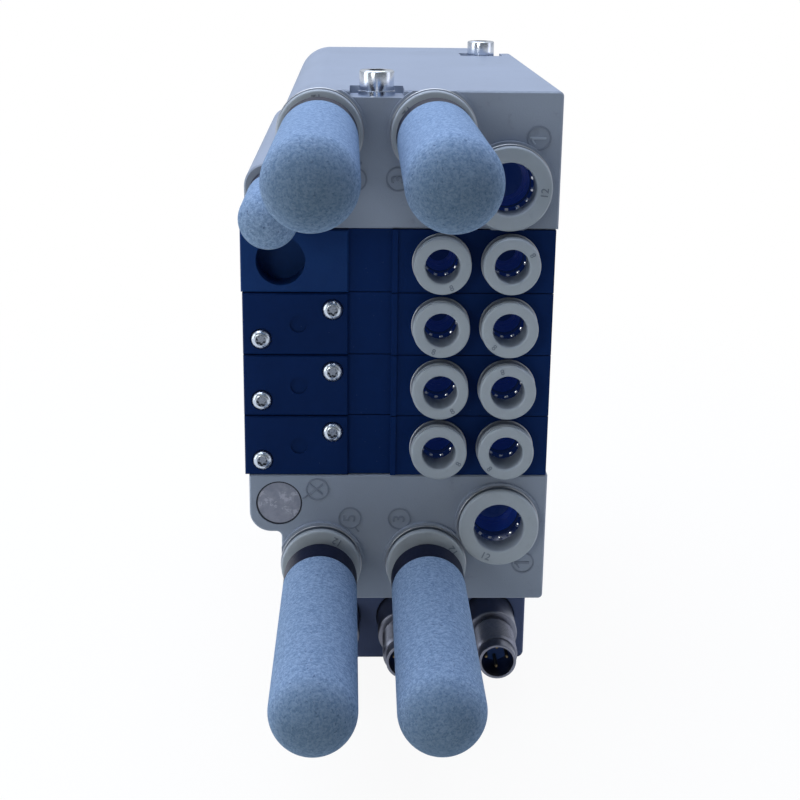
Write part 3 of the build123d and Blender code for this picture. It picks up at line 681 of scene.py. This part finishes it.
dress(bright, "tie_washers")
brass = Finish("insert_brass", Metallic=1.0, Base_Color=rgba(205, 170, 100))
brass.feed("Roughness", 0.25 + brass.noise(0.0008) * 0.2)
dress(brass, "tie_inserts")

# ---------------------------------------------------------------------------- silencers
# A black plastic holder plugs into each exhaust, and a thimble of sintered polyethylene
# is pressed onto it. The thimble is blue-grey, granular and slightly lumpy, with dark
# grains. Its domed end is painted darker and greyer in mottled patches, as painted shade.
cup_segments = 144
grain_size = 0.00045
dome_shade_reach = 8.5 * MM

holder_finish = Finish("holder_black_plastic", Specular_IOR_Level=0.15)
holder_colour = holder_finish.mix(holder_finish.noise(0.006), rgba(6, 12, 36), rgba(11, 19, 48))
holder_finish.feed("Base Color", holder_colour)
holder_finish.feed("Roughness", 0.34 + holder_finish.noise(0.0008) * 0.2)

porous = Finish("silencer_sintered", Specular_IOR_Level=0.12, Roughness=0.92)
fine = porous.noise(grain_size, detail=3.0, roughness=0.7)
clump = porous.noise(0.00085, detail=5.0, roughness=0.75)
cloud = porous.noise(0.009, detail=4.0)
speck = porous.mask(porous.noise(0.0007, detail=2.0, roughness=0.5), 0.63, 0.72)
porous_colour = porous.mix(porous.mask(clump, 0.36, 0.64), rgba(113, 139, 172), rgba(152, 175, 205))
porous_colour = porous.mix(porous.mask(fine, 0.52, 0.68) * 0.5, porous_colour, rgba(180, 197, 224))
porous_colour = porous.mix(porous.mask(fine, 0.46, 0.34) * 0.4, porous_colour, rgba(90, 113, 148))
porous_colour = porous.mix(speck * 0.55, porous_colour, rgba(54, 72, 108))
tip_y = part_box("silencer_lower_3")[0].y
# Painted shade: towards the domed end the colour is mixed to a dark grey-green, in mottled patches.
dome_painted_shade = porous.mask(porous.depth(), tip_y + dome_shade_reach, tip_y + 0.1 * dome_shade_reach)
porous_colour = porous.mix(dome_painted_shade * (0.3 + 0.5 * cloud), porous_colour, rgba(76, 98, 118))
porous.feed("Base Color", porous_colour)
porous.bump(fine * 0.5 + clump * 0.8, 0.0003)


def porous_cup(node, root_radius, wall):
    """Replace a silencer by one whose wall swells gently and whose end is a full dome."""
    low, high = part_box(node)
    tip_radius = (high.x - low.x) / 2
    reach, foot = front_y - low.y, front_y - high.y
    centre = reach - tip_radius
    bm = turn_up([
        (0, reach, 0),
        (tip_radius, reach, tip_radius * 0.985),
        (root_radius, foot, 0.35 * MM),
        (root_radius - wall, foot, 0.25 * MM),
        (root_radius - wall, centre, 0.8 * MM),
        (0, centre, 0),
    ], cup_segments)
    long_edges = [e for e in bm.edges if abs(e.verts[0].co.z - e.verts[1].co.z) > centre * 0.5]
    bmesh.ops.subdivide_edges(bm, edges=long_edges, cuts=40, use_grid_fill=True)
    x, z = middle_of(node)
    bm.transform(Matrix.Translation((x, front_y, z)) @ to_front)
    piece = finished(bm, node + "_sintered", "island", "porous_blue_grey", porous, crease=50)
    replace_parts(piece, node)


for place in ("upper_3", "upper_5", "lower_3", "lower_5"):
    porous_cup("silencer_" + place, root_radius=9.4 * MM, wall=3.0 * MM)
porous_cup("pilot_silencer", root_radius=6.85 * MM, wall=2.0 * MM)
dress(holder_finish, "silencer_holders")

# ---------------------------------------------------------------------------- pilot port plug
# The unused pilot port of the lower end plate is closed by a flat disc of pale plastic,
# scuffed and smeared where sealant was wiped across it.
plug = Finish("plug_scuffed_plastic", Specular_IOR_Level=0.4)
smear = plug.noise(0.0036, detail=7.0, roughness=0.72)
plug_colour = plug.mix(plug.mask(smear, 0.35, 0.6), rgba(140, 144, 160), rgba(156, 158, 174))
wiped = plug.mask(plug.noise(0.0055, detail=5.0, roughness=0.75), 0.54, 0.6)
plug_colour = plug.mix(wiped * 0.7, plug_colour, rgba(196, 196, 210))
plug_x, plug_z = middle_of("pilot_port_plug")
plug_low, plug_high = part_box("pilot_port_plug")
plug_radius = (plug_high.x - plug_low.x) / 2
rim_shade = plug.mask(plug.from_axis(plug_x, plug_z), plug_radius - 0.5 * MM, plug_radius - 0.3 * MM)
plug.feed("Base Color", plug.mix(rim_shade, plug_colour, rgba(30, 34, 44)))
plug.feed("Roughness", 0.35 + smear * 0.35)
plug.bump(smear, 0.00014)
dress(plug, "pilot_port_plug")

# ---------------------------------------------------------------------------- bus module
# The electrical module under the stack is a dark slate moulded case, closed at the back
# by a plate, with a circuit board inside.
slate = Finish("module_slate_plastic", Specular_IOR_Level=0.3)
slate_haze = slate.noise(0.013, detail=5.0)
slate.feed("Base Color", slate.mix(slate_haze, rgba(78, 92, 130), rgba(92, 106, 144)))
slate.feed("Roughness", 0.45 + slate.noise(0.0004) * 0.2)
slate.bump(slate.noise(0.0004), 0.00005)
dress(slate, "module_housing", "module_cover")

board = Finish("circuit_board_green", Roughness=0.35)
copper = board.mask(board.noise(0.003, detail=1.0), 0.5, 0.52)
board.feed("Base Color", board.mix(copper, rgba(14, 78, 40), rgba(22, 100, 54)))
dress(board, "module_board")

# ---------------------------------------------------------------------------- connectors
# Three M12 connectors stand out of the module: a smooth collar, a relief, a fine thread
# and a thin tip round the insert, all in dark nickel plate, worn brighter in random patches.
thread_pitch = 1.0 * MM
crest_flat = 0.14 * MM
thread_depth = 0.5 * MM
shell_segments = 72
insert_painted_glow = (0.003, 0.008, 0.026, 1)

gunmetal = Finish("connector_dark_nickel", Metallic=1.0)
gun_wear = gunmetal.noise(0.0009, detail=5.0, roughness=0.7)
gunmetal.feed("Base Color", gunmetal.mix(gun_wear, rgba(98, 102, 116), rgba(142, 144, 156)))
gunmetal.feed("Roughness", 0.22 + gun_wear * 0.26)
insert_finish = Finish(
    "connector_insert_black", Base_Color=rgba(48, 60, 100), Roughness=0.5, Specular_IOR_Level=0.3
)
insert_finish.bump(insert_finish.noise(0.0005), 0.00003)
# Painted glow: the insert gives off a faint navy light.
paint_glow(insert_finish, insert_painted_glow)
# The pins' gold is painted dark, as painted shade inside the connector.
shaded_gold = Finish("pin_gold", Metallic=1.0, Base_Color=rgba(132, 118, 90))
shaded_gold.feed("Roughness", 0.38 + shaded_gold.noise(0.0005) * 0.15)
dress(insert_finish, "connector_inserts")
dress(shaded_gold, "connector_pins")

shell = {
    "bore": 4.4 * MM, "tail": 5.6 * MM, "collar": 7.2 * MM, "relief": 5.4 * MM,
    "thread": 6.0 * MM, "tip": 5.2 * MM, "recess": 2.0 * MM, "tail_length": 5.0 * MM,
    "collar_reach": 12.0 * MM, "relief_length": 1.6 * MM, "thread_length": 11.4 * MM,
    "tip_length": 4.0 * MM,
}


def connector():
    """A bmesh of one shell with its thread cut as separate vee grooves."""
    thread_foot = shell["collar_reach"] + shell["relief_length"]
    thread_top = thread_foot + shell["thread_length"]
    tip = thread_top + shell["tip_length"]
    outline = [
        (shell["bore"], -shell["recess"] - shell["tail_length"], 0),
        (shell["tail"], -shell["recess"] - shell["tail_length"], 0.2 * MM),
        (shell["tail"], -shell["recess"], 0),
        (shell["collar"], -shell["recess"], 0),
        (shell["collar"], shell["collar_reach"], 0.55 * MM),
        (shell["relief"], shell["collar_reach"], 0),
    ]
    turns = int(shell["thread_length"] / thread_pitch)
    root = shell["thread"] - thread_depth
    outline.append((shell["relief"], thread_foot, 0))
    for turn in range(turns):
        foot = thread_foot + 0.2 * MM + turn * thread_pitch
        outline.append((root, foot, 0))
        outline.append((shell["thread"], foot + (thread_pitch - crest_flat) / 2, 0))
        outline.append((shell["thread"], foot + (thread_pitch + crest_flat) / 2, 0))
    outline += [
        (root, thread_top, 0),
        (shell["tip"], thread_top, 0),
        (shell["tip"], tip, 0.3 * MM),
        (shell["bore"], tip, 0.25 * MM),
    ]
    return turn_up(outline, shell_segments)


connectors = bmesh.new()
module_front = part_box("module_housing")[0].y
for low, high in loose_parts("connector_shells"):
    middle = (low + high) / 2
    add_in(connectors, connector(), Matrix.Translation((middle.x, module_front, middle.z)) @ to_front)
threaded = finished(
    connectors, "connector_shells_threaded", "island", "connector_dark_metal", gunmetal, crease=28
)
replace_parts(threaded, "connector_shells")

# ---------------------------------------------------------------------------- port marks
# Each numbered port is marked on the end plates by a raised circle round its number, with
# a short leader towards the port. The numbers were cut in the mould lying on their sides.
mark_radius = 3.05 * MM
mark_line = 0.42 * MM
mark_height = 0.22 * MM
mark_digit = {"1": 4.1 * MM, "3": 3.3 * MM, "5": 3.3 * MM, "X": 3.3 * MM}
mark_weight = 0.06 * MM
flag = {"top": 1.9 * MM, "end": 0.9 * MM, "reach": 1.5 * MM}
# The marks are painted darker than the plate, as painted shade of their raised edges; the upper 1's number
# and leaders are painted lighter, as a painted highlight.
mark_painted_shade = Finish("port_mark_painted_shade", Specular_IOR_Level=0.35)
mark_painted_highlight = Finish("port_mark_painted_highlight", Specular_IOR_Level=0.35)
for finish, dark, light in (
    (mark_painted_shade, rgba(118, 126, 142), rgba(130, 139, 156)),
    (mark_painted_highlight, rgba(162, 172, 188), rgba(174, 184, 200)),
):
    finish.feed("Base Color", finish.mix(finish.noise(0.003), dark, light))
    finish.feed("Roughness", 0.4 + finish.noise(0.0005) * 0.15)


def leader(start, end):
    """A bmesh of a raised bar between two points of a port's face."""
    (x0, z0), (x1, z1) = start, end
    length = math.hypot(x1 - x0, z1 - z0)
    bar = bmesh.new()
    bmesh.ops.create_cube(bar, size=1)
    bmesh.ops.scale(bar, vec=(length, mark_line, mark_height), verts=bar.verts[:])
    bmesh.ops.bevel(
        bar, geom=bar.edges[:], offset=0.05 * MM, affect="EDGES", segments=2, profile=0.5, material=-1
    )
    turn = Matrix.Rotation(math.atan2(z1 - z0, x1 - x0), 4, "Z")
    bar.transform(Matrix.Translation(((x0 + x1) / 2, (z0 + z1) / 2, mark_height / 2)) @ turn)
    return bar


def port_mark(target, text, x, z, leader_from, leader_to, highlit):
    """Add one circled number to the marks, drawn flat and then stood on the front face."""
    ring = turn_up([
        (mark_radius - mark_line, 0, 0),
        (mark_radius, 0, 0),
        (mark_radius, mark_height, 0.05 * MM),
        (mark_radius - mark_line, mark_height, 0.05 * MM),
    ], 64)
    stand = Matrix.Translation((0, front_y + 0.01 * MM, 0)) @ to_front
    add_in(target, ring, stand @ Matrix.Translation((x, z, 0)), 0)
    digit = Matrix.Translation((x, z, 0)) @ Matrix.Rotation(math.radians(90), 4, "Z")
    add_in(target, lettering(text, mark_digit[text], mark_height, mark_weight), stand @ digit, highlit)
    add_in(target, leader(leader_from, leader_to), stand, highlit)
    if text == "1":
        bar = leader((x - flag["top"], z), (x - flag["end"], z - flag["reach"]))
        add_in(target, bar, stand, highlit)


upper_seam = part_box("upper_end_plate")[0].z
lower_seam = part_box("lower_end_plate")[1].z
marks = bmesh.new()
for text, seam, rise, x, to_port, highlit in (
    ("1", upper_seam, 22.5, 29.0, (-1.6, -4.3), 1),
    ("5", upper_seam, 12.1, -15.9, (1.6, 4.4), 0),
    ("3", upper_seam, 12.2, -5.2, (1.0, 4.6), 0),
    ("X", lower_seam, -3.9, -25.4, (-3.9, -2.6), 0),
    ("5", lower_seam, -11.9, -16.9, (2.3, -3.9), 0),
    ("3", lower_seam, -12.1, -3.9, (-0.2, -4.5), 0),
    ("1", lower_seam, -24.6, 29.1, (-2.0, 4.0), 0),
):
    x *= MM
    z = seam + rise * MM
    reach = math.hypot(*to_port)
    edge = (mark_radius - mark_line / 2) / (reach * MM)
    port_mark(
        marks, text, x, z,
        (x + to_port[0] * MM * edge, z + to_port[1] * MM * edge),
        (x + to_port[0] * MM, z + to_port[1] * MM),
        highlit,
    )
finished(marks, "port_marks", "island", "plate_grey", mark_painted_shade, mark_painted_highlight)

# ---------------------------------------------------------------------------- stage
# A pale floor that runs off to a white background, a wide softbox overhead, a dimmer window
# at each side, a small fill from the front left, and the camera a little above the part.
floor_white = (0.95, 0.95, 0.95, 1)
floor_bounce = (0.74, 0.73, 0.66, 1)
floor_ahead = (0.31, 0.31, 0.27, 1)
ahead_from = -0.22
ahead_to = -0.5
shadow_near = 0.12
shadow_far = 0.45
shadow_share = 0.93
mirror_share = 0.55
room_stops = ((0.0, (0.44, 0.49, 0.56)), (1.0, (0.48, 0.56, 0.72)))
room_ahead = (0.09, 0.10, 0.10, 1)
room_turns = (0.05, -0.6)
mirror_stops = ((0.0, (0.30, 0.32, 0.36)), (1.0, (0.95, 0.98, 1.0)))
mirror_ahead = 0.8
room_rise = (-0.2, 0.9)


def ray(wire, kind):
    """1 for a ray of one kind, such as Is Camera Ray, and 0 for any other."""
    return wire.node("LightPath", {}, {}, output=kind)


def mixed(factor, first, second):
    """Mix two colours of the room."""
    values = {"Factor": factor, 6: first, 7: second}
    return factor.node("Mix", {"data_type": "RGBA"}, values, output=2)


def smoothly(value, low, high, start=0.0, end=1.0):
    """Go smoothly from start, where the value is at low, to end, where it is at high."""
    values = {"Value": value, "From Min": low, "From Max": high, "To Min": start, "To Max": end}
    return value.node("MapRange", {"interpolation_type": "SMOOTHSTEP"}, values)


floor_mesh = bpy.data.meshes.new("floor")
bm = bmesh.new()
bmesh.ops.create_grid(bm, x_segments=1, y_segments=1, size=20)
bm.to_mesh(floor_mesh)
bm.free()
floor = bpy.data.objects.new("floor", floor_mesh)
bpy.context.scene.collection.objects.link(floor)
floor.location = (0, 0, cad_low.z - 0.02 * MM)
paper = Finish("floor_white", Roughness=0.9)
spot = paper.place
dimmed = paper.mix(paper.mask(paper.depth(), ahead_from, ahead_to), floor_bounce, floor_ahead)
paper.feed("Base Color", paper.mix(ray(spot, "Is Diffuse Ray"), floor_white, dimmed))
seen = ray(spot, "Is Camera Ray") + ray(spot, "Is Glossy Ray") * mirror_share
seen = seen + ray(spot, "Is Transmission Ray")
away = spot.node("VectorMath", {"operation": "LENGTH"}, {0: spot}, output=1)
share = seen * smoothly(away, shadow_near, shadow_far, shadow_share, 1.0)
shadowed = Wire(paper.shader.outputs[0])
white = spot.node("Emission", {}, {"Strength": 1.0})
blend = spot.node("MixShader", {}, {0: share, 1: shadowed, 2: white})
tree = paper.material.node_tree
tree.links.new(blend.socket, tree.nodes["Material Output"].inputs["Surface"])
floor_mesh.materials.append(paper.material)

world = bpy.data.worlds.new("studio")
bpy.context.scene.world = world
world.use_nodes = True
tree = world.node_tree
sky = tree.nodes["Background"]
direction = Wire(tree.nodes.new("ShaderNodeTexCoord").outputs["Generated"])
height = direction.node("SeparateXYZ", {}, {0: direction}, output=2)
rise = {"Value": height, "From Min": room_rise[0], "From Max": room_rise[1]}
rise = height.node("MapRange", {}, rise)
ahead = direction.node("SeparateXYZ", {}, {0: direction}, output=1)
ahead = smoothly(ahead, *room_turns)
room = mixed(ahead, rise.node("ValToRGB", {"stops": room_stops}, {0: rise}), room_ahead)
mirrored = rise.node("ValToRGB", {"stops": mirror_stops}, {0: rise})
mirrored = mixed(ahead * mirror_ahead, mirrored, room_ahead)
seen = ray(direction, "Is Camera Ray") + ray(direction, "Is Transmission Ray")
lit = mixed(ray(direction, "Is Glossy Ray"), room, mirrored)
white = mixed(seen, lit, (1, 1, 1, 1))
tree.links.new(white.socket, sky.inputs["Color"])
sky.inputs["Strength"].default_value = 1.0


def softbox(name, place, width, height, power, colour):
    """A rectangular area lamp that looks at the middle of the part."""
    lamp = bpy.data.lights.new(name, "AREA")
    lamp.shape = "RECTANGLE"
    lamp.size = width
    lamp.size_y = height
    lamp.energy = power
    lamp.color = colour
    holder = bpy.data.objects.new(name, lamp)
    bpy.context.scene.collection.objects.link(holder)
    holder.location = place
    holder.rotation_euler = ((cad_low + cad_high) / 2 - Vector(place)).to_track_quat("-Z", "Y").to_euler()


softbox("softbox_above", (-0.15, 0.0, 0.95), 0.9, 0.8, power=7.6, colour=(0.77, 0.85, 1.0))
softbox("window_left", (-1.05, -0.3, 0.35), 0.5, 0.7, power=2.4, colour=(0.90, 0.95, 1.0))
softbox("window_right", (1.05, -0.2, 0.3), 0.5, 0.7, power=1.0, colour=(0.90, 0.90, 1.0))
softbox("fill_front", (-0.48, -1.03, 0.37), 0.28, 0.28, power=1.5, colour=(1.0, 1.0, 0.93))

camera_place = Vector((-15.742, -441.451, 203.457)) * MM
camera_down = 16.868
camera_right = 1.510
camera_roll = 0.657
focal_share = 1.83512
lens_centre = (391.59, 389.33)
frame_side = 800
camera = bpy.data.cameras.new("camera")
camera.sensor_width = 36
camera.lens = focal_share * camera.sensor_width
camera.shift_x = 0.5 - lens_centre[0] / frame_side
camera.shift_y = lens_centre[1] / frame_side - 0.5
camera.clip_start = 0.01
camera.clip_end = 60
camera_holder = bpy.data.objects.new("camera", camera)
bpy.context.scene.collection.objects.link(camera_holder)
aim = Matrix.Rotation(math.radians(-camera_right), 4, "Z")
aim = aim @ Matrix.Rotation(math.radians(90 - camera_down), 4, "X")
roll = Matrix.Rotation(math.radians(camera_roll), 4, "Z")
camera_holder.matrix_world = Matrix.Translation(camera_place) @ aim @ roll
bpy.context.scene.camera = camera_holder
bpy.context.scene.view_settings.view_transform = "Standard"
